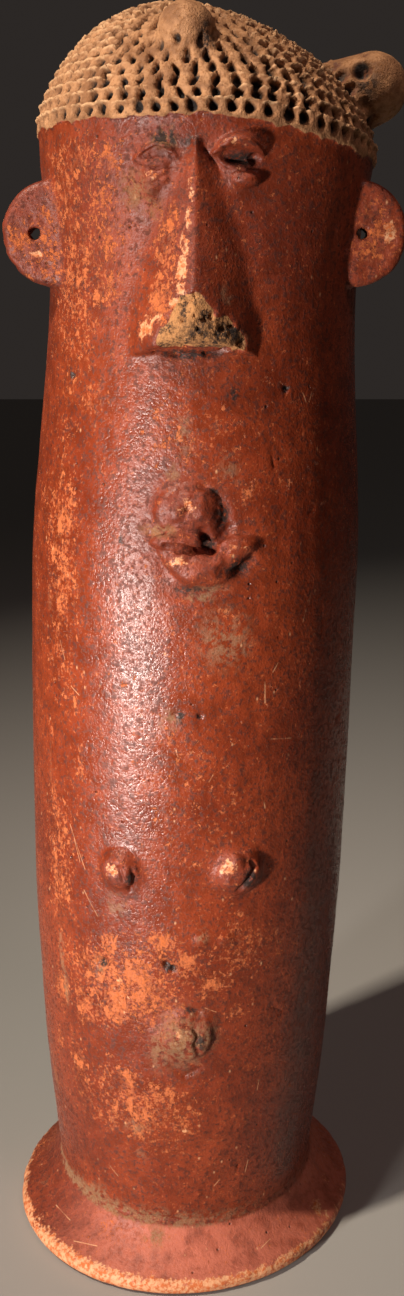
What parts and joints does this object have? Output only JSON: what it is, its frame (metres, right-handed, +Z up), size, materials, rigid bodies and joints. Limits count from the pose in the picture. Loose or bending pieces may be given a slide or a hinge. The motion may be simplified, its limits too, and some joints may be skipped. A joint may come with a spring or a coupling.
{
  "type": "funerary statuette",
  "caption": "Tall hollow terracotta grave figure: a tube on a flared foot with a wedge nose, pierced disc ears, rolled lids and lips, and a cap of pricked hair with blunt knobs.",
  "frame": {"origin": "centre of the whole figure's box at floor height, under the foot", "axes": "+Z up along the tube, the face towards -Y, +X to the right of someone who looks at the face"},
  "size_m": [0.1432, 0.1328, 0.455],
  "materials": {
    "burnished_terracotta": "low-fired terracotta with a burnished red-brown slip, rubbed through to orange in patches, and hair left as bare pale tan clay"
  },
  "bodies": {
    "root": {"statuette": "burnished_terracotta"}
  },
  "joints": []
}
